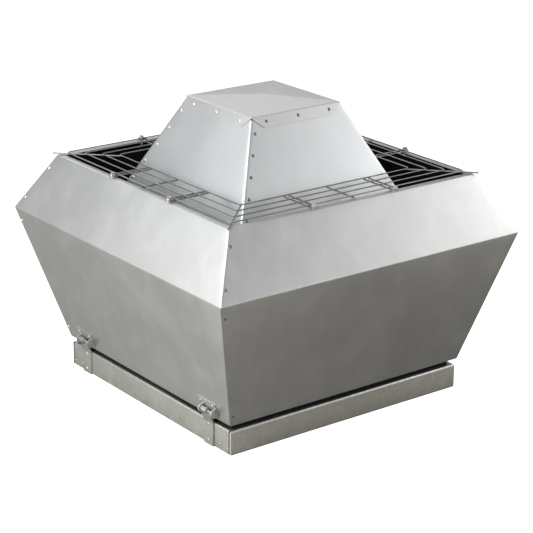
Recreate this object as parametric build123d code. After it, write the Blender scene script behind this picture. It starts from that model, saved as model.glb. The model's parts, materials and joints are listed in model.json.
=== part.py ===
from build123d import *

import os
from math import hypot, sqrt

# Roof exhaust fan with vertical discharge, in millimetres, +Z up.
# Origin: centre of the base frame, on the face that rests on the roof curb.
# Front (-Y) is the hinge side; right is +X, rear is +Y, left is -X.
# Side pieces are made in the front position and turned about Z. Their sections
# are drawn as (distance outward from the axis, height).

# ---------------------------------------------------------------- driving dimensions
BASE_HALF, BASE_HEIGHT, BASE_SHEET = 332.5, 60.0, 2.0
BASE_TOP_FLANGE, BASE_FOOT_FLANGE = 45.0, 85.0
BASE_BEND = 5.0          # outer bend radius of the base channels
BASE_LIP, BASE_SEAM = 4.0, 4.5  # side channel's return round the corner, then the seam
BASE_TAB_END = 280.0     # corner tabs reach back to this distance from the centre
BASE_CORNER_R = 3.0
MOUNT_HALF, MOUNT_HOLE_R = 267.5, 5.5

SHEET, BEND = 1.5, 3.0   # casing and dome sheet, outer bend radius
LAP = 0.05               # between two sheets that lie on each other
MITRE = 0.15             # half the seam between two neighbouring panels
TAB_WIDTH = 24.0         # corner tab behind the next panel

BOTTOM_HALF, BOTTOM_Z, BOTTOM_FLANGE = 335.5, 74.0, 34.0
WIDE_HALF, WIDE_Z = 428.0, 401.0
RIM_HALF, RIM_Z, RIM_FLANGE = 350.0, 536.5, 15.0

DOME_RIM_HALF, DOME_SLOPE = 204.2, 0.494  # half width at rim height, run per drop
DOME_FOOT_Z, DOME_TOP_Z, DOME_FOOT_FLANGE = 402.0, 690.0, 18.0
CAP_Z, PEAK_Z, CAP_DROP = 696.0, 706.8, 25.0
CAP_END_CUT = 28.0       # the cap's flanges end this far short of its corners

DECK_HALF, DECK_SHEET, DECK_RIM, DECK_HOLE_R = 272.0, 3.0, 28.0, 40.0
ARM_WIDTH, ARM_SHEET, ARM_Z, ARM_TAB, ARM_LUG = 50.0, 3.0, 396.0, 30.0, 24.0

PIVOT_OUT, PIVOT_Z, EAR_R, EYELET_R, PIN_R = 351.0, 93.0, 9.5, 6.2, 2.5
HINGE_PLACES = {"left": -263.0, "right": 250.5}
STRAP_SHEET, STRAP_FROM, STRAP_TO = 3.0, -17.0, 19.0   # along X from the hinge place
LEAF_SHEET, LEAF_FROM, LEAF_TO = 2.5, -22.0, 45.0
TONGUE_TO, EAR_SHEET, EAR_PLAY = 19.0, 4.0, 0.6
LEAF_FOOT_Z, LEAF_TOP_Z = 78.0, 115.0

GUARD_INNER, GUARD_STEP, GUARD_RINGS, GUARD_CORNER_R = 244.0, 29.7, 4, 11.0
RING_R, CROSS_R, WELD_GAP, WASHER = 1.5, 2.0, 0.02, 1.5
CROSS_Z = RIM_Z + WASHER + CROSS_R
RING_Z = CROSS_Z + RING_R + CROSS_R + WELD_GAP
CROSS_END, DIAGONAL_END, SINGLE_END = 242.0, 357.0, 339.0
HAIRPIN_PLACE, HAIRPIN_R, GUARD_SCREW_OUT = 115.0, 7.0, 342.0

SEAL_OUT, SEAL_WIDTH, SEAL_TOP = 321.0, 12.0, 73.7
INLET_PLATE_HALF, INLET_PLATE_Z, INLET_PLATE_SHEET = 326.0, 57.9, 1.9
CONE_SHEET, CONE_MOUTH_R, CONE_THROAT_R, CONE_TOP_Z = 1.5, 219.0, 143.0, 212.0

IMPELLER_R, EYE_R, BLADES, BLADE_SHEET = 225.0, 150.0, 7, 2.5
BACKPLATE_Z, BACKPLATE_SHEET = 372.0, 2.5
SHROUD_LIP_Z, SHROUD_BEND_Z, SHROUD_SWEEP_R, SHROUD_SHEET = 203.0, 215.0, 60.0, 2.0
BLADE_LEAD_R, BLADE_CURVE_R, BLADE_CURVE_X = 135.0, 325.6, 211.0
HUB_R, HUB_FLANGE_R, HUB_FLANGE = 28.0, 60.0, 5.0

SHAFT_R, SHAFT_TOP_R, SHAFT_STEP_Z, SHAFT_TOP_Z = 12.0, 10.0, 559.5, 602.0
RUNNING, SEATED = 0.03, 0.02   # clearance on the shaft of bearings, of fixed pieces
SHIELD_R, BODY_Z, BODY_TOP_Z, BODY_R = 100.0, 416.0, 556.0, 70.0
CORE_R, CORE_Z0, CORE_Z1, ROTOR_R = 62.0, 435.0, 545.0, 39.5
FINS, FIN_R, COWL_R, COWL_TOP_Z = 30, 80.0, 74.0, 612.0
LOWER_BEARING_R, UPPER_BEARING_R = 26.0, 21.0
TERMINAL_X0, TERMINAL_X1, TERMINAL_HALF = 84.0, 116.0, 38.0
TERMINAL_Z0, TERMINAL_Z1, TERMINAL_WALL = 450.0, 520.0, 3.0
LOCK_PLACES, LOCK_Z = (-200.0, 200.0), 48.0

# Hexagon screws: shank radius, width across flats, head height, hole radius
M6, M8, M10 = (3.0, 10.0, 4.0, 3.1), (4.0, 13.0, 5.3, 4.1), (5.0, 16.0, 6.4, 5.2)
RIVET_HOLE_R = 2.1

SIDES = {"front": 0, "right": 90, "rear": 180, "left": 270}


# ---------------------------------------------------------------- helpers
def box(x0, x1, y0, y1, z0, z1):
    size = Box(x1 - x0, y1 - y0, z1 - z0)
    return Pos((x0 + x1) / 2, (y0 + y1) / 2, (z0 + z1) / 2) * size


def rod(radius, z0, z1, x=0.0, y=0.0):
    """Upright cylinder."""
    return Pos(x, y, (z0 + z1) / 2) * Cylinder(radius, z1 - z0)


def tube(outer, inner, z0, z1):
    return rod(outer, z0, z1) - rod(inner, z0 - 1, z1 + 1)


def rod_x(radius, x0, x1, y, z):
    """Cylinder along X."""
    return Pos((x0 + x1) / 2, y, z) * Rot(0, 90, 0) * Cylinder(radius, x1 - x0)


def pointing(point, direction):
    """Place at a point whose local +Z looks along a direction."""
    return Plane(origin=point, z_dir=direction).location


def turned(item, side):
    """A shape or a place, moved from the front to another side."""
    return Rot(0, 0, SIDES[side]) * item


def on_sides(items, sides=SIDES):
    """The same shapes or places on several sides."""
    return [turned(item, side) for item in items for side in sides]


def spread(count, radius, z, first=0.0):
    """Places evenly round the axis."""
    return [Rot(0, 0, first + 360 / count * i) * Pos(radius, 0, z) for i in range(count)]


def group(pieces):
    """Separate solids that make one node."""
    return Compound([solid for piece in pieces for solid in piece.solids()])


def drilled(shape, places, radius=RIVET_HOLE_R, depth=9.0):
    for place in places:
        shape -= place * rod(radius, -depth, 4)
    return shape


def shifted(points, distance):
    """Polyline moved to its left by a distance, with mitred corners."""
    normals = []
    for (a0, z0), (a1, z1) in zip(points, points[1:]):
        length = hypot(a1 - a0, z1 - z0)
        normals.append(((z0 - z1) / length, (a1 - a0) / length))
    before, after = [normals[0]] + normals, normals + [normals[-1]]
    moved = []
    for (a, z), (ua, uz), (va, vz) in zip(points, before, after):
        scale = distance / (1 + ua * va + uz * vz)
        moved.append((a + (ua + va) * scale, z + (uz + vz) * scale))
    return moved


def section(points, thickness, bend=BEND):
    """Folded sheet seen from its end: the outer line, with the metal to its left."""
    inner = shifted(points, thickness)
    if len(points) > 2:
        outer_line = FilletPolyline(*points, radius=bend)
        inner_line = FilletPolyline(*inner, radius=max(bend - thickness, 0.3))
    else:
        outer_line, inner_line = Line(*points), Line(*inner)
    start = Line(outer_line @ 0, inner_line @ 0)
    end = Line(outer_line @ 1, inner_line @ 1)
    return make_face(outer_line + end + inner_line + start)


def along_front(face, half_length, middle=0.0):
    """A section swept along X on the front side."""
    front = Plane(origin=(middle, 0, 0), x_dir=(0, -1, 0), z_dir=(-1, 0, 0))
    return extrude(front * face, amount=half_length, both=True)


def prism(corners, z0=-10.0, z1=760.0):
    face = make_face(Polyline(*corners, close=True))
    return Pos(0, 0, z0) * extrude(face, amount=z1 - z0)


def wedge(inset=0.0, reach=600.0):
    """The front quarter of the plan, between the two diagonals."""
    return prism([(0, -inset), (reach, -reach - inset), (-reach, -reach - inset)])


def corner_band(width, reach=600.0):
    """Strip of the front quarter along its right-hand diagonal."""
    return prism([(0, 0), (reach, -reach), (reach - width, -reach), (-width, 0)])


def hexagon(across, z0, z1):
    face = RegularPolygon(across / sqrt(3), 6)
    return Pos(0, 0, z0) * extrude(face, amount=z1 - z0)


def rivet(grip, head_r=4.0, head_h=1.8, shank_r=2.0):
    """Blind rivet: domed, hollow head above z = 0, shank and set tail below."""
    ball_r = (head_r**2 + head_h**2) / (2 * head_h)
    head = Pos(0, 0, head_h - ball_r) * Sphere(ball_r) & rod(head_r, 0, head_h + 1)
    tail = rod(shank_r + 0.8, -grip - 2.5, -grip)
    whole = head + rod(shank_r, -grip - 0.1, 0.2) + tail
    return whole - rod(0.55 * shank_r, head_h - 1.1, head_h + 1)


def screw(size, length):
    """Hexagon screw: head above z = 0, shank below."""
    shank_r, across, head_h = size[:3]
    return hexagon(across, 0, head_h) + rod(shank_r, -length, 0.1)


LOWER_RUN = (WIDE_HALF - BOTTOM_HALF) / (WIDE_Z - BOTTOM_Z)
UPPER_RUN = (WIDE_HALF - RIM_HALF) / (RIM_Z - WIDE_Z)
WALL_TILT = sqrt(1 + LOWER_RUN**2)
DOME_TILT = sqrt(1 + DOME_SLOPE**2)


def lower_out(z):
    return BOTTOM_HALF + LOWER_RUN * (z - BOTTOM_Z)


def upper_out(z):
    return RIM_HALF + UPPER_RUN * (RIM_Z - z)


def dome_out(z):
    return DOME_RIM_HALF + DOME_SLOPE * (RIM_Z - z)


def on_front(out, z, run, x):
    """Place on a front face that widens by run for each unit of drop."""
    return pointing((x, -out, z), (0, -1, run))


nodes = {}


# ---------------------------------------------------------------- base frame
CORNER_RIVETS = [(320.0, 50.0), (320.0, 14.0), (290.0, 15.0)]
FLANGE_SCREW_OUT, FLANGE_SCREWS = 298.0, (-200.0, 0.0, 200.0)
STRAP_RIVET_Z = (50.5, 12.0)
TAB_Z0, TAB_Z1 = 6.0, 54.0
inside_wall = BASE_HALF - BASE_SHEET
foot_inner = BASE_HALF - BASE_FOOT_FLANGE
base_line = [(foot_inner, 0), (BASE_HALF, 0), (BASE_HALF, BASE_HEIGHT),
             (BASE_HALF - BASE_TOP_FLANGE, BASE_HEIGHT)]
base_profile = section(base_line, BASE_SHEET, BASE_BEND)
top_layer = box(-400, 400, -inside_wall, 0, BASE_HEIGHT - 2.8, BASE_HEIGHT + 1)
foot_layer = box(-400, 400, -inside_wall, 0, -1, BASE_SHEET + 0.7)
corner_rivet_places = [pointing((sign * x, -BASE_HALF, z), (0, -1, 0))
                       for x, z in CORNER_RIVETS for sign in (-1, 1)]
flange_screw_places = [Pos(x, -FLANGE_SCREW_OUT, BASE_HEIGHT) for x in FLANGE_SCREWS]
lock_places = [pointing((x, -BASE_HALF, LOCK_Z), (0, -1, 0)) for x in LOCK_PLACES]
strap_rivet_places = [pointing((x, -BASE_HALF - STRAP_SHEET, z), (0, -1, 0))
                      for x in HINGE_PLACES.values() for z in STRAP_RIVET_Z]


def base_long_side(wall_holes):
    """Front or rear channel, between the side channels' returns, with curb bolt holes."""
    side = along_front(base_profile, BASE_HALF - BASE_LIP - BASE_SEAM)
    side -= top_layer - wedge(0.4)
    for x in (-MOUNT_HALF, MOUNT_HALF):
        side -= rod(MOUNT_HOLE_R, -1, 9, x, -MOUNT_HALF)
    side = drilled(side, corner_rivet_places)
    return drilled(side, flange_screw_places + wall_holes, M6[3])


def base_short_side():
    """Left or right channel: returns round its corners to tabs behind the neighbours."""
    side = along_front(base_profile, BASE_HALF)
    side -= top_layer - wedge(0.4)
    side -= foot_layer - box(-foot_inner + 0.3, foot_inner - 0.3, -400, 1, -2, 9)
    x, fold = inside_wall - LAP, -BASE_HALF + BASE_LIP
    ear = box(x - BASE_SHEET, x, fold - BASE_SHEET, -BASE_TAB_END, TAB_Z0, TAB_Z1)
    ear += box(x - BASE_SHEET, BASE_HALF, fold - BASE_SHEET, fold, TAB_Z0, TAB_Z1)
    ear += box(inside_wall, BASE_HALF, -BASE_HALF, fold, TAB_Z0, TAB_Z1)
    ear = drilled(ear, [pointing((BASE_HALF, -out, z), (1, 0, 0))
                        for out, z in CORNER_RIVETS])
    arc_at = BASE_HALF - BASE_CORNER_R
    waste = box(arc_at, 340, -340, -arc_at, -1, 61) - rod(BASE_CORNER_R, -2, 62, arc_at, -arc_at)
    side = side + ear + mirror(ear, Plane.YZ) - waste - mirror(waste, Plane.YZ)
    return drilled(side, flange_screw_places, M6[3])


short_side = base_short_side()
strap_holes = [place * Pos(0, 0, -STRAP_SHEET) for place in strap_rivet_places]
nodes["base_side_front"] = base_long_side(strap_holes)
nodes["base_side_right"] = turned(short_side, "right")
nodes["base_side_rear"] = turned(base_long_side(lock_places), "rear")
nodes["base_side_left"] = turned(short_side, "left")
corner_rivets = [place * rivet(2 * BASE_SHEET + LAP, 3.0, 1.4)
                 for place in corner_rivet_places]
nodes["base_corner_rivets"] = group(on_sides(corner_rivets, ("front", "rear")))


# ---------------------------------------------------------------- inlet
CONE_SCREWS, CONE_SCREW_R, CONE_FLANGE = 8, 234.0, 26.0
cone_rivet_places = spread(CONE_SCREWS, CONE_SCREW_R, INLET_PLATE_Z + CONE_SHEET, 22.5)


def inlet_plate():
    half = INLET_PLATE_HALF
    plate = box(-half, half, -half, half, INLET_PLATE_Z - INLET_PLATE_SHEET,
                INLET_PLATE_Z)
    plate = drilled(plate - rod(CONE_MOUTH_R, 0, 100), cone_rivet_places)
    return drilled(plate, on_sides(flange_screw_places), M6[3])


def inlet_cone():
    """Spun bellmouth: flat flange, quarter-round mouth and straight neck."""
    foot, top = INLET_PLATE_Z, INLET_PLATE_Z + CONE_SHEET
    sweep_r = CONE_MOUTH_R - CONE_THROAT_R
    neck_r, neck_z = CONE_THROAT_R + CONE_SHEET, foot + sweep_r
    flange_r = CONE_MOUTH_R + CONE_FLANGE
    lower = Line((flange_r, foot), (CONE_MOUTH_R, foot))
    lower += RadiusArc((CONE_MOUTH_R, foot), (CONE_THROAT_R, neck_z), sweep_r)
    lower += Line((CONE_THROAT_R, neck_z), (CONE_THROAT_R, CONE_TOP_Z))
    lip = Line((CONE_THROAT_R, CONE_TOP_Z), (neck_r, CONE_TOP_Z))
    upper = Line((neck_r, CONE_TOP_Z), (neck_r, neck_z))
    upper += RadiusArc((neck_r, neck_z), (CONE_MOUTH_R, top), -(sweep_r - CONE_SHEET))
    upper += Line((CONE_MOUTH_R, top), (flange_r, top))
    profile = make_face(lower + lip + upper + Line((flange_r, top), (flange_r, foot)))
    return drilled(revolve(Plane.XZ * profile, Axis.Z), cone_rivet_places)


def tilt_seal():
    inner_half = SEAL_OUT - SEAL_WIDTH
    face = RectangleRounded(2 * SEAL_OUT, 2 * SEAL_OUT, 9)
    face -= RectangleRounded(2 * inner_half, 2 * inner_half, 3)
    return Pos(0, 0, BASE_HEIGHT) * extrude(face, amount=SEAL_TOP - BASE_HEIGHT)


nodes["inlet_plate"] = inlet_plate()
nodes["inlet_plate_screws"] = group(
    on_sides([place * screw(M6, 8) for place in flange_screw_places]))
nodes["inlet_cone"] = inlet_cone()
nodes["inlet_cone_rivets"] = group(
    [place * rivet(CONE_SHEET + INLET_PLATE_SHEET + LAP) for place in cone_rivet_places])
nodes["tilt_seal"] = tilt_seal()


# ---------------------------------------------------------------- tilt hinges
LEAF_RIVETS, LEAF_RIVET_DROP = (-12.0, 33.0), 7.0
STRAP_FOLD_Z = 56.0
EAR_FOOT_Z, EAR_TOP_Z = 81.0, 105.0


def hinge_strap(place):
    """Leaf on the base: flat foot, leaning tongue and rolled eye for the pin."""
    face_out = BASE_HALF + STRAP_SHEET
    line = [(face_out, 1), (face_out, STRAP_FOLD_Z),
            (PIVOT_OUT - EYELET_R + STRAP_SHEET, PIVOT_Z)]
    half = (STRAP_TO - STRAP_FROM) / 2
    strap = along_front(section(line, STRAP_SHEET), half, place + STRAP_FROM + half)
    strap -= box(place - 40, place, -400, -300, BOTTOM_Z, 120)
    strap += rod_x(EYELET_R, place, place + TONGUE_TO, -PIVOT_OUT, PIVOT_Z)
    strap -= rod_x(PIN_R + 0.05, place - 9, place + 50, -PIVOT_OUT, PIVOT_Z)
    return drilled(strap, strap_rivet_places, M6[3])


def leaf_rivet_places(place):
    z = LEAF_TOP_Z - LEAF_RIVET_DROP
    out = lower_out(z) + (LEAF_SHEET + LAP) * WALL_TILT
    return [on_front(out, z, -LOWER_RUN, place + x) for x in LEAF_RIVETS]


def leaf_ear(start):
    """Round-ended ear that stands out from the leaf and carries the pin."""
    face = make_face(Polyline(
        (PIVOT_OUT, PIVOT_Z + EAR_R), (lower_out(EAR_TOP_Z) + 1, EAR_TOP_Z),
        (lower_out(EAR_FOOT_Z) + 1, EAR_FOOT_Z), (PIVOT_OUT, PIVOT_Z - EAR_R), close=True))
    ear = along_front(face, EAR_SHEET / 2, start + EAR_SHEET / 2)
    return ear + rod_x(EAR_R, start, start + EAR_SHEET, -PIVOT_OUT, PIVOT_Z)


def hinge_leaf(place):
    """Leaf on the casing: plate with two ears for the pin."""
    reach = (LEAF_SHEET + LAP) * WALL_TILT
    line = [(lower_out(z) + reach, z) for z in (LEAF_FOOT_Z, LEAF_TOP_Z)]
    half = (LEAF_TO - LEAF_FROM) / 2
    leaf = along_front(section(line, LEAF_SHEET), half, place + LEAF_FROM + half)
    leaf += leaf_ear(place - EAR_PLAY - EAR_SHEET) + leaf_ear(place + LEAF_TO - EAR_SHEET)
    leaf -= rod_x(PIN_R + SEATED, place - 50, place + 60, -PIVOT_OUT, PIVOT_Z)
    return drilled(leaf, leaf_rivet_places(place))


def hinge_pin(place):
    """Pin with a flat head at each end, outside the ears."""
    start, stop = place - EAR_PLAY - EAR_SHEET, place + LEAF_TO
    head_r, end = PIN_R + 1.8, 2.0
    pin = rod_x(PIN_R, start - 1, stop + 1, -PIVOT_OUT, PIVOT_Z)
    pin += rod_x(head_r, start - end, start - LAP, -PIVOT_OUT, PIVOT_Z)
    return pin + rod_x(head_r, stop + LAP, stop + end, -PIVOT_OUT, PIVOT_Z)


for name, place in HINGE_PLACES.items():
    nodes[f"hinge_strap_{name}"] = hinge_strap(place)
    nodes[f"hinge_leaf_{name}"] = hinge_leaf(place)
nodes["hinge_pins"] = group([hinge_pin(place) for place in HINGE_PLACES.values()])
nodes["hinge_strap_rivets"] = group(
    [place * rivet(STRAP_SHEET + BASE_SHEET, 4.5, 2.0, 3.0)
     for place in strap_rivet_places])


# ---------------------------------------------------------------- lock on the rear side
LOCK_SLOT_R, LOCK_PLATE, LOCK_WIDTH, LOCK_FOOT_Z, LOCK_TOP_Z = 4.5, 2.0, 34.0, 28.0, 112.0
LOCK_STAND_OUT = 338.6   # outer face of the bracket's hanging part
LOCK_RIVET_DROP, LOCK_RIVET_X = 10.0, 9.0


def lock_rivet_places(x):
    z = LOCK_TOP_Z - LOCK_RIVET_DROP
    out = lower_out(z) + (LOCK_PLATE + LAP) * WALL_TILT
    return [on_front(out, z, -LOWER_RUN, x + sign * LOCK_RIVET_X) for sign in (-1, 1)]


def lock_bracket(x):
    """Plate on the casing that hangs over the base, with a slot open downward."""
    reach = (LOCK_PLATE + LAP) * WALL_TILT
    fold_z = BOTTOM_Z + (LOCK_STAND_OUT - reach - BOTTOM_HALF) / LOWER_RUN
    line = [(LOCK_STAND_OUT, LOCK_FOOT_Z), (LOCK_STAND_OUT, fold_z),
            (lower_out(LOCK_TOP_Z) + reach, LOCK_TOP_Z)]
    plate = along_front(section(line, LOCK_PLATE), LOCK_WIDTH / 2, x)
    plate -= box(x - LOCK_SLOT_R, x + LOCK_SLOT_R, -400, -300, 20, LOCK_Z)
    slot_end = pointing((x, -LOCK_STAND_OUT, LOCK_Z), (0, -1, 0))
    return drilled(drilled(plate, [slot_end], LOCK_SLOT_R), lock_rivet_places(x))


def lock_screw():
    """Flanged hexagon screw and the collar that it stands on, from the base wall."""
    shank_r = M6[0]
    collar = tube(7, shank_r + LAP, LAP, 3.4)
    flanged = rod(shank_r, -10, 8.2) + rod(9, 8.1, 9.7) + hexagon(13, 9.6, 15)
    return group([collar, flanged])


lock_pieces = [lock_bracket(x) for x in LOCK_PLACES]
nodes["lock_brackets"] = group(on_sides(lock_pieces, ["rear"]))
nodes["lock_screws"] = group(
    on_sides([place * lock_screw() for place in lock_places], ["rear"]))


# ---------------------------------------------------------------- folded sheet panels
def corner_tab(line, half_length):
    """Strip at a panel's right end that lies behind the next panel's left edge."""
    behind = section(shifted(line, SHEET + LAP), SHEET)
    root = section(shifted(line, SHEET - 0.1), SHEET + LAP + 0.1)
    strip = along_front(behind, half_length) & corner_band(TAB_WIDTH)
    lip = along_front(root, half_length) & corner_band(5.0)
    return mirror(strip, Plane(origin=(0, 0, 0), z_dir=(1, 1, 0))) + lip


def panel(line, tab_line, half_length, seam_places):
    """One side of a four-sided shell, in the front position."""
    sheet = along_front(section(line, SHEET), half_length) & wedge(MITRE)
    body = sheet + corner_tab(tab_line, half_length)
    return drilled(body, on_sides(seam_places, ("front", "right")))


LOWER_SEAM_Z, UPPER_SEAM_Z = (101.0, 370.0), (430.0, 505.0)
casing_line = [(BOTTOM_HALF - BOTTOM_FLANGE, BOTTOM_Z), (BOTTOM_HALF, BOTTOM_Z),
               (WIDE_HALF, WIDE_Z), (RIM_HALF, RIM_Z), (RIM_HALF - RIM_FLANGE, RIM_Z)]
casing_tab = [(lower_out(84), 84), (WIDE_HALF, WIDE_Z), (upper_out(526), 526)]
casing_seams = [on_front(lower_out(z), z, -LOWER_RUN, 10.0 - lower_out(z))
                for z in LOWER_SEAM_Z]
casing_seams += [on_front(upper_out(z), z, UPPER_RUN, 9.0 - upper_out(z))
                 for z in UPPER_SEAM_Z]
guard_screw_places = [Pos(x, -GUARD_SCREW_OUT, RIM_Z)
                      for x in (-HAIRPIN_PLACE, HAIRPIN_PLACE)]
leaf_places = [spot for x in HINGE_PLACES.values() for spot in leaf_rivet_places(x)]
bracket_places = [spot for x in LOCK_PLACES for spot in lock_rivet_places(x)]
casing_panel = panel(casing_line, casing_tab, 470.0, casing_seams)
casing_panel = drilled(casing_panel, guard_screw_places, M6[3], 6)
nodes["casing_panel_front"] = drilled(casing_panel, leaf_places)
nodes["casing_panel_right"] = turned(casing_panel, "right")
nodes["casing_panel_rear"] = turned(drilled(casing_panel, bracket_places), "rear")
nodes["casing_panel_left"] = turned(casing_panel, "left")

seam_grip = 2 * SHEET + LAP
nodes["casing_rivets"] = group(on_sides([place * rivet(seam_grip)
                                         for place in casing_seams]))
leaf_rivets = [place * rivet(LEAF_SHEET + LAP + SHEET) for place in leaf_places]
bracket_rivets = [place * rivet(LOCK_PLATE + LAP + SHEET) for place in bracket_places]
nodes["bracket_rivets"] = group(leaf_rivets + on_sides(bracket_rivets, ["rear"]))


# ---------------------------------------------------------------- motor dome
DECK_SCREW_OUT, DECK_SCREWS = 259.0, (-180.0, 0.0, 180.0)
MOTOR_BOLT_R, MOTOR_BOLTS, SHIELD_TOP_Z = 82.5, 4, 412.0
ARM_BOLT_Z, ARM_BOLT_X = 383.0, 14.0
DOME_RIVETS, DOME_RIVET_Z, DOME_RIVET_STEP = 6, 452.0, 42.0
CAP_RIVETS, CAP_RIVET_Z = (-90.0, 0.0, 90.0), 684.0
dome_line = [(dome_out(DOME_FOOT_Z) - DOME_FOOT_FLANGE, DOME_FOOT_Z),
             (dome_out(DOME_FOOT_Z), DOME_FOOT_Z), (dome_out(DOME_TOP_Z), DOME_TOP_Z)]
dome_tab = [(dome_out(z), z) for z in (DOME_FOOT_Z + 10, DOME_TOP_Z - 4)]
dome_seams = [on_front(dome_out(z), z, DOME_SLOPE, 14.0 - dome_out(z))
              for z in [DOME_RIVET_Z + DOME_RIVET_STEP * i for i in range(DOME_RIVETS)]]
deck_screw_places = [Pos(x, -DECK_SCREW_OUT, DOME_FOOT_Z + SHEET) for x in DECK_SCREWS]
cap_half = dome_out(CAP_Z) + (SHEET + LAP) * DOME_TILT
cap_rivet_places = [
    on_front(cap_half + DOME_SLOPE * (CAP_Z - CAP_RIVET_Z), CAP_RIVET_Z, DOME_SLOPE, x)
    for x in CAP_RIVETS]
arm_bolt_places = [
    pointing((sign * ARM_BOLT_X, -DECK_HALF - LAP - ARM_SHEET, ARM_BOLT_Z), (0, -1, 0))
    for sign in (-1, 1)]
motor_bolt_places = spread(MOTOR_BOLTS, MOTOR_BOLT_R, SHIELD_TOP_Z, 45)


def dome_panel():
    body = panel(dome_line, dome_tab, 300.0, dome_seams)
    body = drilled(body, cap_rivet_places)
    return drilled(body, deck_screw_places, M6[3])


def dome_cap():
    """Shallow pyramid with four flanges folded down over the dome."""
    foot_z = CAP_Z - CAP_DROP
    line = [(cap_half + DOME_SLOPE * CAP_DROP, foot_z), (cap_half, CAP_Z), (0, PEAK_Z)]
    quarter = along_front(section(line, SHEET), 200.0) & wedge()
    end, corner = cap_half - CAP_END_CUT, cap_half + 1
    outline = [(-corner, PEAK_Z + 5), (corner, PEAK_Z + 5), (corner, CAP_Z - 1.5),
               (end, foot_z - 0.5), (-end, foot_z - 0.5), (-corner, CAP_Z - 1.5)]
    silhouette = Plane.XZ * make_face(Polyline(*outline, close=True))
    quarter &= extrude(silhouette, amount=300)
    cap = quarter + on_sides([quarter], ("right", "rear", "left"))
    return drilled(cap, on_sides(cap_rivet_places))


def motor_deck():
    """Pan under the dome: flat plate with a rim folded down."""
    line = [(DECK_HALF, DOME_FOOT_Z - DECK_RIM), (DECK_HALF, DOME_FOOT_Z),
            (0, DOME_FOOT_Z)]
    quarter = along_front(section(line, DECK_SHEET, 4.0), 300.0) & wedge()
    deck = quarter + on_sides([quarter], ("right", "rear", "left"))
    deck -= rod(DECK_HOLE_R, 390, 410)
    deck = drilled(deck, motor_bolt_places, M10[3], 30)
    deck = drilled(deck, on_sides(deck_screw_places), M6[3])
    return drilled(deck, on_sides(arm_bolt_places), M8[3])


def deck_arm():
    """Folded strap from the deck's rim out to the casing's lower wall."""
    skin = SHEET * WALL_TILT + 0.1
    line = [(lower_out(ARM_Z - ARM_TAB) - skin, ARM_Z - ARM_TAB),
            (lower_out(ARM_Z) - skin, ARM_Z), (DECK_HALF + LAP, ARM_Z),
            (DECK_HALF + LAP, ARM_Z - ARM_LUG)]
    arm = along_front(section(line, ARM_SHEET, 5.0), ARM_WIDTH / 2)
    return drilled(arm, arm_bolt_places, M8[3])


def arm_bolt():
    """Bolt through the arm's lug and the deck's rim, with its nut."""
    shank_r, across = M8[:2]
    nut_top = -DECK_SHEET - ARM_SHEET - 0.2
    nut = hexagon(across, -13, nut_top) - rod(shank_r + SEATED, -20, 0)
    return group([screw(M8, 17), nut])


dome_side = dome_panel()
for name in SIDES:
    nodes[f"dome_panel_{name}"] = turned(dome_side, name)
nodes["dome_rivets"] = group(on_sides([place * rivet(seam_grip) for place in dome_seams]))
nodes["dome_cap"] = dome_cap()
nodes["cap_rivets"] = group(
    on_sides([place * rivet(seam_grip) for place in cap_rivet_places]))
nodes["motor_deck"] = motor_deck()
nodes["deck_screws"] = group(
    on_sides([place * screw(M6, 9) for place in deck_screw_places]))
nodes["deck_arms"] = group(on_sides([deck_arm()]))
nodes["arm_bolts"] = group(on_sides([place * arm_bolt() for place in arm_bolt_places]))


# ---------------------------------------------------------------- wire guard
def wire(path, radius):
    start = Plane(origin=path @ 0, z_dir=path % 0)
    return sweep(start * Circle(radius), path=path)


def guard_ring(half):
    """Square ring of round wire with rounded corners."""
    outline = RectangleRounded(2 * half, 2 * half, GUARD_CORNER_R).face().outer_wire()
    return wire(Pos(0, 0, RING_Z) * outline, RING_R)


def hairpin(x):
    """Wire that runs out under the rings, round a screw and back."""
    left, right, tip = x - HAIRPIN_R, x + HAIRPIN_R, -GUARD_SCREW_OUT
    path = Line((left, -CROSS_END, CROSS_Z), (left, tip, CROSS_Z))
    path += ThreePointArc((left, tip, CROSS_Z), (x, tip - HAIRPIN_R, CROSS_Z),
                          (right, tip, CROSS_Z))
    path += Line((right, tip, CROSS_Z), (right, -CROSS_END, CROSS_Z))
    return wire(path, CROSS_R)


def straight_wire(x0, y0, x1, y1):
    return wire(Line((x0, y0, CROSS_Z), (x1, y1, CROSS_Z)), CROSS_R)


def wire_guard():
    """Rings on top; hairpins, single wires and corner wires welded under them."""
    rings = [guard_ring(GUARD_INNER + GUARD_STEP * i) for i in range(GUARD_RINGS)]
    single = straight_wire(0, -CROSS_END, 0, -SINGLE_END)
    corner = CROSS_END - 4.0
    diagonal = straight_wire(corner, -corner, DIAGONAL_END, -DIAGONAL_END)
    hairpins = [hairpin(-HAIRPIN_PLACE), hairpin(HAIRPIN_PLACE)]
    return group(rings + on_sides(hairpins + [single, diagonal]))


def guard_fixing():
    """Screw through the guard's hairpin, with a washer under and over the wire."""
    wire_top = WASHER + 2 * CROSS_R
    washers = [tube(HAIRPIN_R, M6[3], z + LAP, z + WASHER - LAP) for z in (0, wire_top)]
    return Pos(0, 0, wire_top + WASHER) * screw(M6, 18), group(washers)


guard_screw, guard_washer_pair = guard_fixing()
nodes["wire_guard"] = wire_guard()
nodes["guard_washers"] = group(
    on_sides([place * guard_washer_pair for place in guard_screw_places]))
nodes["guard_screws"] = group(
    on_sides([place * guard_screw for place in guard_screw_places]))


# ---------------------------------------------------------------- impeller
HUB_RIVETS, HUB_RIVET_R = 6, 46.0
plate_top = BACKPLATE_Z + BACKPLATE_SHEET
hub_rivet_places = spread(HUB_RIVETS, HUB_RIVET_R, plate_top + HUB_FLANGE)


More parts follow.
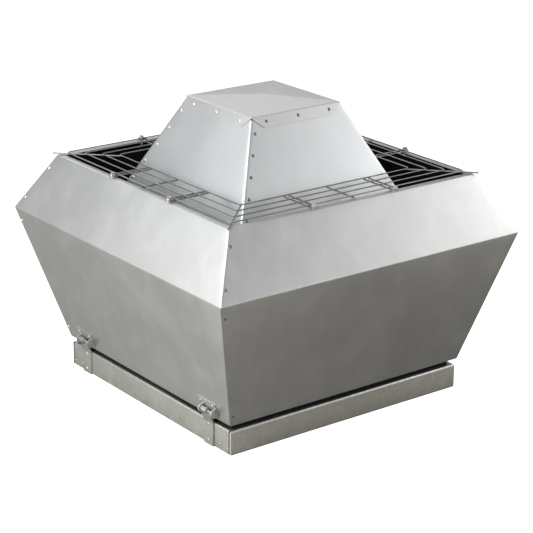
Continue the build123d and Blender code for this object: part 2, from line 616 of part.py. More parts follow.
def shroud_line(offset=0.0):
    """Meridian of the shroud: eye ring, sweep and straight flare at 30 degrees."""
    r, sweep_r = EYE_R + offset, SHROUD_SWEEP_R - offset
    middle = EYE_R + SHROUD_SWEEP_R
    end = (middle - sweep_r / 2, SHROUD_BEND_Z + sweep_r * sqrt(3) / 2)
    rim = (IMPELLER_R, end[1] + (IMPELLER_R - end[0]) / sqrt(3))
    line = Line((r, SHROUD_LIP_Z), (r, SHROUD_BEND_Z))
    line += RadiusArc((r, SHROUD_BEND_Z), end, sweep_r)
    return line + Line(end, rim)


def shroud():
    inner, outer = shroud_line(), shroud_line(SHROUD_SHEET)
    ends = [Line(inner @ 0, outer @ 0), Line(inner @ 1, outer @ 1)]
    face = make_face(inner + ends[1] + outer + ends[0])
    return revolve(Plane.XZ * face, Axis.Z)


def blades():
    """Backward-curved blades between the shroud and the back plate."""
    half_sheet, lift, tip_r = BLADE_SHEET / 2, 0.1, IMPELLER_R - 3
    arc = Circle(BLADE_CURVE_R + half_sheet) - Circle(BLADE_CURVE_R - half_sheet)
    strip = extrude(Pos(BLADE_CURVE_X, 0, 0) * arc, amount=400)
    strip &= box(-400, 400, 1, 400, 0, 400)
    meridian = shroud_line(-lift)
    edge = [(IMPELLER_R, BACKPLATE_Z - LAP), (BLADE_LEAD_R, BACKPLATE_Z - LAP),
            (EYE_R - lift, SHROUD_LIP_Z)]
    face = make_face(meridian + Polyline(meridian @ 1, *edge))
    passage = revolve(Plane.XZ * face, Axis.Z)
    passage &= tube(tip_r, BLADE_LEAD_R - 5, SHROUD_BEND_Z - 1, 400)
    blade = strip & passage
    return [Rot(0, 0, 360 / BLADES * i) * blade for i in range(BLADES)]


def impeller_hub():
    hub = rod(HUB_FLANGE_R, plate_top, plate_top + HUB_FLANGE)
    hub += rod(HUB_R, plate_top, plate_top + 20)
    return drilled(hub - rod(SHAFT_R + SEATED, 300, 420), hub_rivet_places, 3.1)


def hub_bolt():
    """Bolt in the shaft's end, with the washer that holds the back plate."""
    washer_z = BACKPLATE_Z - 4
    bolt = Pos(0, 0, washer_z) * Rot(180, 0, 0) * screw(M10, 29)
    return bolt + rod(26, washer_z, BACKPLATE_Z - LAP)


def motor_shaft():
    shaft = rod(SHAFT_R, BACKPLATE_Z, SHAFT_STEP_Z)
    shaft += rod(SHAFT_TOP_R, SHAFT_STEP_Z - 1, SHAFT_TOP_Z)
    return shaft - rod(M10[0] + SEATED, BACKPLATE_Z - 1, BACKPLATE_Z + 30)


def cooling_fan():
    foot, top, disc_r, vanes = 578.0, 598.0, 52.0, 8
    fan = rod(18, foot, top) + rod(disc_r, foot, foot + 2)
    for i in range(vanes):
        fan += Rot(0, 0, 360 / vanes * i) * box(17, disc_r - 1, -1, 1, foot + 1, top - 1)
    return fan - rod(SHAFT_TOP_R + SEATED, foot - 8, top + 12)


backplate = tube(IMPELLER_R, SHAFT_R + SEATED, BACKPLATE_Z, plate_top)
nodes["impeller_backplate"] = drilled(backplate, hub_rivet_places, 3.1, 12)
nodes["impeller_blades"] = group(blades())
nodes["impeller_shroud"] = shroud()
nodes["impeller_hub"] = impeller_hub()
nodes["hub_rivets"] = group(
    [place * rivet(HUB_FLANGE + BACKPLATE_SHEET, 5.0, 2.4, 3.0)
     for place in hub_rivet_places])
nodes["hub_bolt"] = hub_bolt()
nodes["motor_shaft"] = motor_shaft()
nodes["rotor_core"] = tube(ROTOR_R, SHAFT_R + SEATED, CORE_Z0 + 2, CORE_Z1 - 2)
nodes["cooling_fan"] = cooling_fan()


# ---------------------------------------------------------------- motor
BEARING_SEAT = 3.0       # sheet under the lower bearing, over the upper one
GLAND_R, CABLE_R = 8.0, 5.5
UPPER_SHIELD_TOP_Z = BODY_TOP_Z + 14
terminal_x = (TERMINAL_X0 + TERMINAL_X1) / 2
core_bore_r = CORE_R + LAP


def lower_shield():
    """Flange end shield that carries the motor on the deck."""
    shield = rod(SHIELD_R, DOME_FOOT_Z, SHIELD_TOP_Z)
    shield += rod(BODY_R, SHIELD_TOP_Z - 1, BODY_Z)
    shield -= rod(SHAFT_R + 1.5, 400, 420)
    shield -= rod(LOWER_BEARING_R + SEATED, DOME_FOOT_Z + BEARING_SEAT, 420)
    return drilled(shield, motor_bolt_places, M10[3], 30)


def motor_body():
    """Finned aluminium housing with a pad for the terminal box."""
    body = rod(BODY_R, BODY_Z, BODY_TOP_Z)
    for i in range(FINS):
        fin = box(BODY_R - 1, FIN_R, -1.2, 1.2, BODY_Z + 4, BODY_TOP_Z - 4)
        body += Rot(0, 0, 360 / FINS * i) * fin
    body += box(66, TERMINAL_X0, -30, 30, TERMINAL_Z0 + 6, TERMINAL_Z1 - 6)
    return body - rod(core_bore_r, 400, 600)


def upper_shield():
    shield = rod(72, BODY_TOP_Z, UPPER_SHIELD_TOP_Z) - rod(SHAFT_TOP_R + 2, 500, 600)
    seat_top = UPPER_SHIELD_TOP_Z - BEARING_SEAT
    return shield - rod(UPPER_BEARING_R + SEATED, 500, seat_top)


def fan_cowl():
    """Cover over the cooling fan, with slots in its top."""
    wall = 1.5
    cowl = rod(COWL_R, BODY_TOP_Z + 2, COWL_TOP_Z)
    cowl -= rod(72 + LAP, BODY_TOP_Z, COWL_TOP_Z - wall)
    for place in spread(12, 38, COWL_TOP_Z - 1):
        cowl -= place * Box(44, 6, 6)
    return cowl


def terminal_box():
    inset, half = TERMINAL_WALL, TERMINAL_HALF
    shell = box(TERMINAL_X0, TERMINAL_X1, -half, half, TERMINAL_Z0, TERMINAL_Z1)
    shell -= box(TERMINAL_X0 + inset, TERMINAL_X1 + 1, -half + inset, half - inset,
                 TERMINAL_Z0 + inset, TERMINAL_Z1 - inset)
    return shell - rod(GLAND_R + 0.1, TERMINAL_Z0 - 1, TERMINAL_Z0 + 4, terminal_x)


def cable_gland():
    """Compression gland under the terminal box, with the cable's bore open."""
    z = TERMINAL_Z0
    gland = rod(GLAND_R, z - 1, z + 8) + hexagon(24, z - 7, z - LAP)
    gland += rod(GLAND_R + 2.5, z - 20, z - 6)
    return Pos(terminal_x, 0, 0) * (gland - rod(CABLE_R, 400, 500))


def winding(z0, z1):
    return tube(CORE_R - 2, ROTOR_R + 4.5, z0, z1)


nodes["motor_lower_shield"] = lower_shield()
nodes["motor_body"] = motor_body()
nodes["stator_core"] = tube(CORE_R, ROTOR_R + 0.7, CORE_Z0, CORE_Z1)
nodes["stator_windings"] = group(
    [winding(CORE_Z0 - 10, CORE_Z0 - 0.1), winding(CORE_Z1 + 0.1, CORE_Z1 + 9)])
nodes["motor_upper_shield"] = upper_shield()
nodes["fan_cowl"] = fan_cowl()
nodes["terminal_box"] = terminal_box()
nodes["terminal_box_lid"] = box(TERMINAL_X1 + LAP, TERMINAL_X1 + 4, -TERMINAL_HALF,
                                TERMINAL_HALF, TERMINAL_Z0, TERMINAL_Z1)
nodes["cable_gland"] = cable_gland()
nodes["bearing_lower"] = tube(LOWER_BEARING_R, SHAFT_R + RUNNING,
                              DOME_FOOT_Z + BEARING_SEAT + LAP, BODY_Z)
nodes["bearing_upper"] = tube(UPPER_BEARING_R, SHAFT_TOP_R + RUNNING, SHAFT_STEP_Z + 0.5,
                              UPPER_SHIELD_TOP_Z - BEARING_SEAT - 0.1)
nodes["motor_bolts"] = group([place * screw(M10, 22) for place in motor_bolt_places])

os.makedirs("parts", exist_ok=True)
for name, shape in nodes.items():
    export_step(shape, f"parts/{name}.step")
print(len(nodes), "nodes")
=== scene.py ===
import json
import math

import bmesh
import bpy
from mathutils import Matrix, Vector, noise


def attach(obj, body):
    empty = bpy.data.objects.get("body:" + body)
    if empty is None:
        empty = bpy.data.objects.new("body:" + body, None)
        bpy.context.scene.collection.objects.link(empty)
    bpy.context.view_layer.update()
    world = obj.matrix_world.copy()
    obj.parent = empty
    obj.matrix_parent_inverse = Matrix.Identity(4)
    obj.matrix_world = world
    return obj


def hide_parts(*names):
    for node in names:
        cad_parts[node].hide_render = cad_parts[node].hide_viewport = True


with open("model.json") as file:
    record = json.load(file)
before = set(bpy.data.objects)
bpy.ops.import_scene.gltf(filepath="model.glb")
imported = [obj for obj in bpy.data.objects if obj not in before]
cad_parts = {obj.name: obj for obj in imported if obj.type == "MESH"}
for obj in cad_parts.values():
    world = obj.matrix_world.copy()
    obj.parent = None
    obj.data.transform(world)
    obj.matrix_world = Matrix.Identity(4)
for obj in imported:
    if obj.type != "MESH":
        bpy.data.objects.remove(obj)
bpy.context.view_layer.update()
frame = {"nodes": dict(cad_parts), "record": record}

# Looks of a roof exhaust fan with vertical discharge. Metres, +Z up, in the CAD frame.
MM = 0.001


# ---------------------------------------------------------------- node materials
class Look:
    """A material under construction: one Principled shader and its texture nodes."""

    def __init__(self, name, color, metallic, roughness, **sockets):
        self.material = bpy.data.materials.new(name)
        self.material.use_nodes = True
        self.tree = self.material.node_tree
        self.shader = self.tree.nodes["Principled BSDF"]
        self.shader.inputs["Base Color"].default_value = (*color, 1)
        self.shader.inputs["Metallic"].default_value = metallic
        self.shader.inputs["Roughness"].default_value = roughness
        for socket, value in sockets.items():
            self.shader.inputs[socket.replace("_", " ")].default_value = value
        self.color, self.roughness = color, roughness
        self.place = self.add("ShaderNodeTexCoord").outputs["Object"]

    def add(self, kind, **settings):
        node = self.tree.nodes.new(kind)
        for key, value in settings.items():
            setattr(node, key, value)
        return node

    def feed(self, node, **values):
        """Sets or links a node's inputs by name, with _ for a space."""
        for key, value in values.items():
            socket = node.inputs[key.replace("_", " ")]
            if isinstance(value, bpy.types.NodeSocket):
                self.tree.links.new(value, socket)
            else:
                socket.default_value = value
        return node

    def stretched(self, stretch):
        """Object coordinates, scaled by axis: a small factor draws the pattern out."""
        mapping = self.add("ShaderNodeMapping")
        return self.feed(mapping, Vector=self.place, Scale=stretch).outputs["Vector"]

    def cloud(self, size, detail=3.0, stretch=(1, 1, 1), warp=0.0):
        """Noise from 0 to 1 whose blotches are about size metres across."""
        texture = self.add("ShaderNodeTexNoise")
        self.feed(texture, Vector=self.stretched(stretch), Scale=1 / size, Detail=detail,
                  Roughness=0.55, Distortion=warp)
        return texture.outputs["Fac"]

    def crystals(self, size):
        """A grey value for each zinc crystal of about size metres; swirls bend the borders."""
        bent = self.add("ShaderNodeVectorMath", operation="MULTIPLY_ADD")
        swirl = self.add("ShaderNodeTexNoise")
        self.feed(swirl, Vector=self.place, Scale=0.6 / size, Detail=1.0)
        self.tree.links.new(swirl.outputs["Color"], bent.inputs[0])
        bent.inputs[1].default_value = (size,) * 3
        self.tree.links.new(self.place, bent.inputs[2])
        cells = self.add("ShaderNodeTexVoronoi", feature="F1")
        self.feed(cells, Vector=bent.outputs[0], Scale=1 / size)
        grey = self.add("ShaderNodeRGBToBW")
        return self.feed(grey, Color=cells.outputs["Color"]).outputs["Val"]

    def scaled(self, value, low, high, from_low=0.0, from_high=1.0):
        """A value mapped from one span to another, and clamped."""
        node = self.add("ShaderNodeMapRange")
        self.feed(node, Value=value, From_Min=from_low, From_Max=from_high,
                  To_Min=low, To_Max=high)
        return node.outputs["Result"]

    def calc(self, operation, first, second):
        node = self.add("ShaderNodeMath", operation=operation)
        for socket, value in zip(node.inputs, (first, second)):
            if isinstance(value, bpy.types.NodeSocket):
                self.tree.links.new(value, socket)
            else:
                socket.default_value = value
        return node.outputs["Value"]

    def height_fade(self, low, high):
        """1 below the height low, 0 above the height high."""
        parts = self.feed(self.add("ShaderNodeSeparateXYZ"), Vector=self.place)
        return self.scaled(parts.outputs["Z"], 1.0, 0.0, low, high)

    def edges(self, radius):
        """1 on sharp outer edges, 0 on open faces."""
        bevel = self.feed(self.add("ShaderNodeBevel", samples=6), Radius=radius)
        facing = self.add("ShaderNodeVectorMath", operation="DOT_PRODUCT")
        geometry = self.add("ShaderNodeNewGeometry")
        self.tree.links.new(bevel.outputs["Normal"], facing.inputs[0])
        self.tree.links.new(geometry.outputs["Normal"], facing.inputs[1])
        return self.scaled(facing.outputs["Value"], 1.0, 0.0, 0.75, 0.99)

    def tint(self, factor, other):
        """Blends the base colour so far towards another colour."""
        socket = self.shader.inputs["Base Color"]
        blend = self.add("ShaderNodeMix", data_type="RGBA")
        before = socket.links[0].from_socket if socket.links else (*self.color, 1)
        for name, value in (("A", before), ("B", (*other, 1))):
            target = [s for s in blend.inputs if s.name == name and s.type == "RGBA"][0]
            if isinstance(value, bpy.types.NodeSocket):
                self.tree.links.new(value, target)
            else:
                target.default_value = value
        self.tree.links.new(factor, blend.inputs["Factor"])
        result = [s for s in blend.outputs if s.type == "RGBA"][0]
        self.tree.links.new(result, socket)

    def roughen(self, value, low, high):
        """Adds to the roughness so far between low and high."""
        socket = self.shader.inputs["Roughness"]
        before = socket.links[0].from_socket if socket.links else self.roughness
        added = self.calc("ADD", before, self.scaled(value, low, high))
        self.tree.links.new(added, socket)

    def bump(self, height, distance, strength=1.0):
        """Raises the surface by distance where height is 1."""
        socket = self.shader.inputs["Normal"]
        node = self.add("ShaderNodeBump")
        self.feed(node, Height=height, Distance=distance, Strength=strength)
        if socket.links:
            self.tree.links.new(socket.links[0].from_socket, node.inputs["Normal"])
        self.tree.links.new(node.outputs["Normal"], socket)


def lighter(color, factor):
    return tuple(min(1.0, c * factor) for c in color)


DIRT, DIRT_TOP = (0.16, 0.15, 0.125), 75 * MM
# Painted shade for the rivet heads on the right of the fan, and the x span over which it fades in.
RIGHT_SIDE_SHADE, SHADE_FROM_X = (0.11, 0.11, 0.11), (90 * MM, 130 * MM)


def sheet_metal(name, color, grain, roughness, smudges=0.10, spangle=0.0, dirt=0.0):
    """Satin sheet: rolled grain, handling smudges, bright cut edges, dust low down."""
    look = Look(name, color, 1.0, roughness)
    lines = look.cloud(0.9 * MM, 2.0, grain)
    bands = look.cloud(26 * MM, 2.0, grain)
    smudge = look.cloud(85 * MM, 5.0, warp=0.4)
    haze = look.cloud(240 * MM, 2.0)
    look.tint(look.scaled(bands, 0.0, smudges, 0.35, 0.8), lighter(color, 0.78))
    look.tint(look.scaled(smudge, 0.0, 1.6 * smudges, 0.45, 0.75), lighter(color, 1.22))
    look.roughen(haze, -0.03, 0.04)
    look.roughen(smudge, -0.035, 0.05)
    look.roughen(lines, -0.04, 0.05)
    if spangle:
        cells = look.crystals(7 * MM)
        look.tint(look.scaled(cells, 0.0, spangle), lighter(color, 0.55))
        look.roughen(cells, -0.05, 0.06)
    if dirt:
        low = look.calc("MULTIPLY", look.height_fade(0.0, DIRT_TOP), look.cloud(30 * MM, 6.0))
        look.tint(look.scaled(low, 0.0, dirt, 0.25, 0.8), DIRT)
    look.tint(look.scaled(look.edges(1.1 * MM), 0.0, 0.65), lighter(color, 1.35))
    look.bump(look.cloud(95 * MM, 1.0), 0.5 * MM, 0.5)
    look.bump(lines, 0.012 * MM, 0.8)
    return look.material


def zinc(name, color, roughness=0.34):
    """Zinc plated steel: slightly cloudy, with dull patches."""
    look = Look(name, color, 1.0, roughness)
    patch = look.cloud(9 * MM, 4.0)
    look.tint(look.scaled(patch, 0.0, 0.45, 0.4, 0.75), lighter(color, 0.6))
    look.roughen(patch, -0.06, 0.12)
    look.tint(look.scaled(look.edges(0.5 * MM), 0.0, 0.5), lighter(color, 1.4))
    look.bump(look.cloud(0.8 * MM, 2.0), 0.02 * MM, 0.6)
    return look.material


def rivet_head(name, color, roughness):
    """Aluminium blind rivet; on the right of the fan (+X) the heads are painted dark, a painted
    shade standing in for the darker light on that side.
    """
    look = Look(name, color, 1.0, roughness)
    patch = look.cloud(5 * MM, 4.0)
    look.tint(look.scaled(patch, 0.0, 0.3, 0.4, 0.75), lighter(color, 0.7))
    parts = look.feed(look.add("ShaderNodeSeparateXYZ"), Vector=look.place)
    # painted shade: the heads darken from x = 90 mm to 130 mm, standing in for the darker light on
    # the right side
    look.tint(look.scaled(parts.outputs["X"], 0.0, 0.8, *SHADE_FROM_X), RIGHT_SIDE_SHADE)
    look.roughen(patch, -0.04, 0.1)
    look.bump(look.cloud(0.6 * MM, 2.0), 0.02 * MM, 0.5)
    return look.material


def rubber(name):
    """Cellular rubber strip: dull, finely pitted."""
    look = Look(name, (0.006, 0.006, 0.006), 0.0, 0.95, Specular_IOR_Level=0.2)
    cells = look.cloud(1.6 * MM, 3.0)
    look.tint(look.scaled(cells, 0.0, 0.5, 0.4, 0.8), (0.016, 0.016, 0.015))
    look.bump(cells, 0.35 * MM)
    return look.material


def enamel(name, color):
    """Sprayed paint on a casting: orange peel, chipped edges, settled dust."""
    look = Look(name, color, 0.0, 0.42, Specular_IOR_Level=0.5)
    dust = look.cloud(30 * MM, 6.0)
    look.tint(look.scaled(dust, 0.0, 0.35, 0.45, 0.8), (0.25, 0.24, 0.22))
    look.roughen(dust, -0.05, 0.2)
    look.tint(look.scaled(look.edges(0.8 * MM), 0.0, 0.6), (0.30, 0.31, 0.31))
    look.bump(look.cloud(1.8 * MM, 2.0), 0.03 * MM)
    return look.material


def sound_coat(name):
    """Dark damping coat sprayed inside the shell: pebbled, with thin dusty patches."""
    look = Look(name, (0.007, 0.007, 0.007), 0.0, 0.9, Specular_IOR_Level=0.2)
    pebbles = look.cloud(2.4 * MM, 4.0)
    dust = look.cloud(70 * MM, 5.0)
    look.tint(look.scaled(pebbles, 0.0, 0.5, 0.4, 0.8), (0.014, 0.014, 0.014))
    look.tint(look.scaled(dust, 0.0, 0.25, 0.5, 0.85), (0.035, 0.034, 0.032))
    look.roughen(dust, -0.05, 0.08)
    look.bump(pebbles, 0.4 * MM)
    return look.material


def lamination(name, color):
    """Edges of stacked steel sheets."""
    look = Look(name, color, 1.0, 0.45)
    layers = look.cloud(0.7 * MM, 1.0, (0.02, 0.02, 1.0))
    look.tint(look.scaled(layers, 0.0, 0.7, 0.4, 0.6), lighter(color, 0.4))
    look.roughen(look.cloud(12 * MM), -0.05, 0.15)
    look.bump(layers, 0.06 * MM)
    return look.material


def winding(name):
    """Varnished copper wire laid round the core."""
    look = Look(name, (0.50, 0.20, 0.075), 1.0, 0.32, Coat_Weight=0.6)
    strands = look.cloud(1.1 * MM, 1.0, (1.0, 1.0, 3.0), warp=0.6)
    look.tint(look.scaled(strands, 0.0, 0.85, 0.4, 0.62), (0.12, 0.045, 0.02))
    look.roughen(strands, -0.05, 0.15)
    look.bump(strands, 0.3 * MM)
    return look.material


def plastic(name, color):
    """Fine-textured moulding, paler where it is handled."""
    look = Look(name, color, 0.0, 0.5, Specular_IOR_Level=0.45)
    look.tint(look.scaled(look.cloud(22 * MM, 4.0), 0.0, 0.3, 0.45, 0.8), lighter(color, 2.2))
    look.tint(look.scaled(look.edges(0.6 * MM), 0.0, 0.4), lighter(color, 3.0))
    look.roughen(look.cloud(8 * MM), -0.08, 0.1)
    look.bump(look.cloud(0.7 * MM, 2.0), 0.05 * MM)
    return look.material


# ---------------------------------------------------------------- materials by slot
ALONG_X, ALONG_Y, ALONG_Z = (0.03, 1.0, 1.0), (1.0, 0.03, 1.0), (1.0, 1.0, 0.03)
GALVANISED, CASING = (0.53, 0.53, 0.505), (0.56, 0.56, 0.555)
DOME, CAP = (0.62, 0.63, 0.635), (0.60, 0.60, 0.585)

# Painted light: the front and rear sheets, and every other galvanised part, are painted 12% lighter
# than the side sheets. This stands in for the brighter light on the front. Otherwise the two differ
# only in grain direction.
galvanised_x_painted_lighter = sheet_metal("galvanised_x_painted_lighter", lighter(GALVANISED, 1.12), ALONG_X, 0.38,
                           smudges=0.3, spangle=0.4, dirt=0.5)
galvanised_y = sheet_metal("galvanised_y", GALVANISED, ALONG_Y, 0.38,
                           smudges=0.3, spangle=0.4, dirt=0.5)
casing_sheet = sheet_metal("casing_sheet", CASING, ALONG_Z, 0.40, smudges=0.24)
dome_sheet = sheet_metal("dome_sheet", DOME, ALONG_Z, 0.36)
cap_sheet = sheet_metal("cap_sheet", CAP, ALONG_X, 0.38)
impeller_sheet = sheet_metal("impeller_sheet", DOME, ALONG_Z, 0.34)
guard_zinc = zinc("guard_zinc", (0.32, 0.32, 0.31), 0.42)
fastener_zinc = zinc("fastener_zinc", (0.58, 0.58, 0.56))
rivet_metal = rivet_head("rivet_metal", (0.66, 0.66, 0.66), 0.26)
dull_zinc = zinc("dull_zinc", (0.44, 0.44, 0.42), 0.58)
bearing_steel = zinc("bearing_steel", (0.66, 0.66, 0.66), 0.18)
shaft_steel = zinc("shaft_steel", (0.58, 0.58, 0.58), 0.25)
core_steel = lamination("core_steel", (0.26, 0.26, 0.26))
seal_rubber = rubber("seal_rubber")
inner_coat = sound_coat("inner_coat")
motor_enamel = enamel("motor_enamel", (0.055, 0.068, 0.078))
copper_winding = winding("copper_winding")
black_plastic = plastic("black_plastic", (0.02, 0.02, 0.02))

SLOT_LOOKS = {
    "galvanised": galvanised_x_painted_lighter, "casing_sheet": casing_sheet, "dome_sheet": dome_sheet,
    "cap_sheet": cap_sheet, "guard_wire": guard_zinc, "fastener": fastener_zinc,
    "rivet": rivet_metal, "seal_rubber": seal_rubber, "impeller_metal": impeller_sheet,
    "motor_paint": motor_enamel, "cowl_paint": motor_enamel, "core_steel": core_steel,
    "winding_copper": copper_winding, "shaft_steel": shaft_steel,
    "bearing_steel": bearing_steel, "black_plastic": black_plastic,
}
NODE_LOOKS = {
    "base_side_left": galvanised_y, "base_side_right": galvanised_y,
    "base_corner_rivets": dull_zinc, "hinge_strap_rivets": dull_zinc,
    "bracket_rivets": dull_zinc, "hinge_pins": dull_zinc,
    "hinge_leaf_left": casing_sheet, "hinge_leaf_right": casing_sheet,
}

for part in frame["record"]["subparts"]:
    node = frame["nodes"][part["node"]]
    node.data.materials.clear()
    look = NODE_LOOKS.get(part["node"], SLOT_LOOKS[part["material_slot"]])
    node.data.materials.append(look)


# ---------------------------------------------------------------- folded sheet panels
# Sections are (distance outward, height) in millimetres, as for the front panel.
SHEET, BEND, SEAM = 1.5, 3.0, 0.4
DOME_RIM_HALF, RIM_Z, DOME_SLOPE = 204.2, 536.5, 0.494
TAB_WIDTH, TAB_LAP, TAB_STEP = 24.0, 1.6, 1.2
WAVE, WAVE_SIZE, WAVE_FADE, FADE_STEPS = 0.5, 150.0, 40.0, 5
BEND_STEPS, CORNER_STEPS, WIDE_STEPS, STEP = 4, 6, 40, 14.0
SHARP = math.radians(40)
SIDE_TURNS = {"front": 0, "right": 90, "rear": 180, "left": 270}


def dome_out(z):
    return DOME_RIM_HALF + DOME_SLOPE * (RIM_Z - z)


def run(start, stop):
    """Evenly spaced points from start (left out) to stop."""
    count = max(1, round((stop - start).length / STEP))
    return [start.lerp(stop, i / count) for i in range(1, count + 1)]


def arc(centre, start, stop, count):
    """Points round a centre between two arms, both ends included."""
    turned = [start.slerp(stop, i / count).normalized() for i in range(count + 1)]
    return [centre + arm * start.length for arm in turned]


def folded(corners):
    """Points along a folded line, its bends rounded."""
    line = [Vector(corner) for corner in corners]
    points = [line[0]]
    for before, corner, after in zip(line, line[1:], line[2:]):
        back, ahead = (before - corner).normalized(), (after - corner).normalized()
        half = back.angle(ahead) / 2
        reach, depth = BEND / math.tan(half), BEND / math.sin(half)
        centre = corner + (back + ahead).normalized() * depth
        start, stop = corner + back * reach, corner + ahead * reach
        points += run(points[-1], start)
        points += arc(centre, start - centre, stop - centre, BEND_STEPS)[1:]
    return points + run(points[-1], line[-1])


def corner_wrap(out, lip, radius):
    """The sheet's right end in plan: round the corner, a step inward, then the tab."""
    centre = Vector((out - radius, radius - out))
    bend = arc(centre, Vector((0, -radius)), Vector((radius, 0)), CORNER_STEPS)
    return bend[1:] + [Vector((out, lip - out)),
                       Vector((out - TAB_LAP, lip + TAB_STEP - out)),
                       Vector((out - TAB_LAP, TAB_WIDTH - out))]


def panel_row(out, z, lip, radius, wall, seed):
    """Points across the front panel at one height; flange rows end at the mitre."""
    is_wall = wall[0] <= z <= wall[1]
    left = -out + (lip + SEAM if is_wall else SEAM / 2)
    right = out - (radius if is_wall else SEAM / 2)
    fade = max(0.0, min(1.0, (z - wall[0]) / WAVE_FADE, (wall[1] - z) / WAVE_FADE))
    row = []
    for i in range(WIDE_STEPS + 1):
        x = left + (right - left) * i / WIDE_STEPS
        side = min(1.0, i / FADE_STEPS, (WIDE_STEPS - i) / FADE_STEPS)
        wave = noise.noise(Vector((x / WAVE_SIZE, z / WAVE_SIZE, seed)))
        row.append(Vector((x, WAVE * wave * fade * side - out, z)))
    if is_wall:
        row += [Vector((p.x, p.y, z)) for p in corner_wrap(out, lip, radius)]
    return row


def thickened(mesh):
    """Gives the sheet its thickness; its back takes the second material."""
    mesh.normal_update()
    faces, rims = mesh.faces[:], [edge for edge in mesh.edges if edge.is_boundary]
    back = {v: mesh.verts.new(v.co - v.normal * SHEET * MM) for v in mesh.verts[:]}
    for face in faces:
        behind = mesh.faces.new([back[v] for v in reversed(face.verts)])
        behind.material_index = 1
    for first, second in [edge.verts for edge in rims]:
        mesh.faces.new((second, first, back[first], back[second]))
    bmesh.ops.recalc_face_normals(mesh, faces=mesh.faces[:])
    for face in mesh.faces:
        face.smooth = True
    for edge in mesh.edges:
        edge.smooth = edge.calc_face_angle(0.0) < SHARP


def folded_panel(node, side, corners, lip, radius, wall, looks):
    """One side of a four-sided shell, with the next corner rounded and its tab."""
    mesh = bmesh.new()
    seed = float(SIDE_TURNS[side])
    rows = [[mesh.verts.new(point * MM) for point in panel_row(*place, lip, radius, wall, seed)]
            for place in folded(corners)]
    for below, above in zip(rows, rows[1:]):
        for i in range(min(len(below), len(above)) - 1):
            mesh.faces.new((below[i], below[i + 1], above[i + 1], above[i]))
    thickened(mesh)
    data = bpy.data.meshes.new(node + "_sheet")
    mesh.to_mesh(data)
    mesh.free()
    data.transform(Matrix.Rotation(math.radians(SIDE_TURNS[side]), 4, "Z"))
    for look in looks:
        data.materials.append(look)
    piece = bpy.data.objects.new(node + "_sheet", data)
    bpy.context.scene.collection.objects.link(piece)
    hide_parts(node)
    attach(piece, "housing")


CASING_LINE = [(301.5, 74.0), (335.5, 74.0), (428.0, 401.0), (350.0, 536.5), (335.0, 536.5)]
CASING_LIP, CASING_CORNER, CASING_WALL = 4.0, 3.0, (74.1, 536.4)
DOME_FOOT_Z, DOME_TOP_Z, DOME_FLANGE = 402.0, 690.0, 18.0
DOME_LINE = [(dome_out(DOME_FOOT_Z) - DOME_FLANGE, DOME_FOOT_Z),
             (dome_out(DOME_FOOT_Z), DOME_FOOT_Z), (dome_out(DOME_TOP_Z), DOME_TOP_Z)]
DOME_LIP, DOME_CORNER, DOME_WALL = 6.5, 4.0, (402.1, 691.0)
for side in SIDE_TURNS:
    folded_panel("casing_panel_" + side, side, CASING_LINE, CASING_LIP, CASING_CORNER,
                 CASING_WALL, (casing_sheet, inner_coat))
    folded_panel("dome_panel_" + side, side, DOME_LINE, DOME_LIP, DOME_CORNER,
                 DOME_WALL, (dome_sheet, inner_coat))


# ---------------------------------------------------------------- camera
def aimed(direction, roll=0.0):
    """Rotation that looks along a direction, turned about it by roll degrees."""
    look_at = Vector(direction).to_track_quat("-Z", "Y").to_matrix()
    return (look_at @ Matrix.Rotation(math.radians(roll), 3, "Z")).to_euler()


CAMERA_AT, CAMERA_LOOKS, CAMERA_ROLL = (3.3370, -2.5087, 1.7584), (-0.7520, 0.5685, -0.3335), 0.43
camera = bpy.data.objects.new("camera", bpy.data.cameras.new("camera"))
camera.data.lens, camera.data.sensor_width = 124.85, 36.0
camera.location = CAMERA_AT
camera.rotation_euler = aimed(CAMERA_LOOKS, CAMERA_ROLL)
bpy.context.scene.collection.objects.link(camera)
bpy.context.scene.camera = camera
bpy.context.scene.view_settings.view_transform = "Standard"


# ---------------------------------------------------------------- studio
MIDDLE = Vector((0, 0, 0.35))
BOX_SIZE, BOX_DISTANCE = 1.2, 2.2


def around(azimuth, elevation, distance):
    """A point round the object: azimuth 0 is in front (-Y), 90 is to the right (+X)."""
    a, e = math.radians(azimuth), math.radians(elevation)
    flat = distance * math.cos(e)
    return MIDDLE + Vector((flat * math.sin(a), -flat * math.cos(a), distance * math.sin(e)))


def soft_light(name, azimuth, elevation, energy, color=(1, 1, 1)):
    """Square soft box that faces the object and is itself out of view."""
    data = bpy.data.lights.new(name, "AREA")
    data.energy, data.size, data.color = energy, BOX_SIZE, color
    light = bpy.data.objects.new(name, data)
    light.location = around(azimuth, elevation, BOX_DISTANCE)
    light.rotation_euler = aimed(MIDDLE - light.location)
    light.visible_camera = False
    bpy.context.scene.collection.objects.link(light)


UPPER_GLOW, LOWER_LEFT_GLOW, LOWER_RIGHT_GLOW = 0.27, 0.30, 0.10
COOL, WARM, EARTH = (0.95, 0.985, 1.0), (1.0, 1.0, 0.94), (1.0, 0.96, 0.87)
HORIZON, RIGHTWARD = (-0.05, 0.12), (0.797, 0.603, 0.0)
FLOOR_HALF, FLOOR_GLOW = 14.0, 0.85


def blend_colors(nodes, links, factor, first, second):
    """Mix of two colours, each a fixed colour or another node's output."""
    mix = nodes.new("ShaderNodeMix")
    mix.data_type = "RGBA"
    links.new(factor, mix.inputs["Factor"])
    for socket, value in ((mix.inputs[6], first), (mix.inputs[7], second)):
        if isinstance(value, list):
            socket.default_value = (*value, 1)
        else:
            links.new(value, socket)
    return mix.outputs[2]


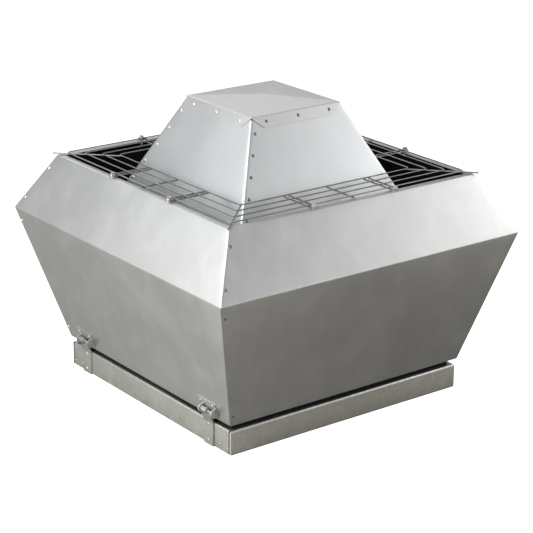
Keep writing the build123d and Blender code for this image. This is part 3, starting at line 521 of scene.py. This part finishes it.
def studio_world():
    """Even surround above the horizon; below it, brighter on the left than on the right."""
    world = bpy.data.worlds.new("studio")
    bpy.context.scene.world = world
    world.use_nodes = True
    nodes, links = world.node_tree.nodes, world.node_tree.links
    background = nodes["Background"]
    place = nodes.new("ShaderNodeTexCoord")
    parts = nodes.new("ShaderNodeSeparateXYZ")
    links.new(place.outputs["Generated"], parts.inputs["Vector"])
    height = nodes.new("ShaderNodeMapRange")
    height.inputs["From Min"].default_value, height.inputs["From Max"].default_value = HORIZON
    links.new(parts.outputs["Z"], height.inputs["Value"])
    across = nodes.new("ShaderNodeVectorMath")
    across.operation = "DOT_PRODUCT"
    across.inputs[1].default_value = RIGHTWARD
    links.new(place.outputs["Generated"], across.inputs[0])
    side = nodes.new("ShaderNodeMapRange")
    side.inputs["From Min"].default_value = -1.0
    links.new(across.outputs["Value"], side.inputs["Value"])
    below = blend_colors(nodes, links, side.outputs["Result"],
                         [LOWER_LEFT_GLOW * c for c in WARM],
                         [LOWER_RIGHT_GLOW * c for c in EARTH])
    above = [UPPER_GLOW * c for c in COOL]
    whole = blend_colors(nodes, links, height.outputs["Result"], below, above)
    links.new(whole, background.inputs["Color"])


def floor():
    """White paper under the fan, bright enough to fade into the surround."""
    mesh = bpy.data.meshes.new("floor")
    corners = [(x * FLOOR_HALF, y * FLOOR_HALF, 0) for x, y in ((-1, -1), (1, -1), (1, 1), (-1, 1))]
    mesh.from_pydata(corners, [], [(0, 1, 2, 3)])
    ground = bpy.data.objects.new("floor", mesh)
    bpy.context.scene.collection.objects.link(ground)
    look = Look("floor_paper", (0.90, 0.90, 0.90), 0.0, 0.9)
    look.tint(look.scaled(look.cloud(0.6), 0.0, 0.2), (0.87, 0.87, 0.87))
    look.shader.inputs["Emission Color"].default_value = (1, 1, 1, 1)
    look.shader.inputs["Emission Strength"].default_value = FLOOR_GLOW
    mesh.materials.append(look.material)
    ground.visible_glossy = False
    ground.visible_diffuse = False
    ground.visible_shadow = False


studio_world()
floor()
soft_light("front_low", 0, -10, 31, WARM)
soft_light("front_left_low", 315, -10, 0.9, WARM)
soft_light("front_left_floor", 315, -35, 1.0, WARM)
soft_light("right_low", 90, -10, 5.9, EARTH)
soft_light("right_floor", 90, -35, 1.9, EARTH)
soft_light("rear_right_low", 135, -10, 3.0, EARTH)
soft_light("right_high", 120, 12, 3.0)
soft_light("rear_right", 150, 12, 9.0)
soft_light("rear_right_high", 150, 35, 5.6)
soft_light("front_left", 330, 12, 4.4)
soft_light("front_left_high", 330, 35, 6.5, COOL)
soft_light("front_high", 0, 35, 15)
soft_light("camera_left", 28, 35, 10)
soft_light("camera_right", 58, 35, 9)
soft_light("left_high", 272, 38, 8, COOL)
soft_light("rear_left_high", 230, 35, 2.8)
soft_light("rear_left_top", 235, 60, 4.5)
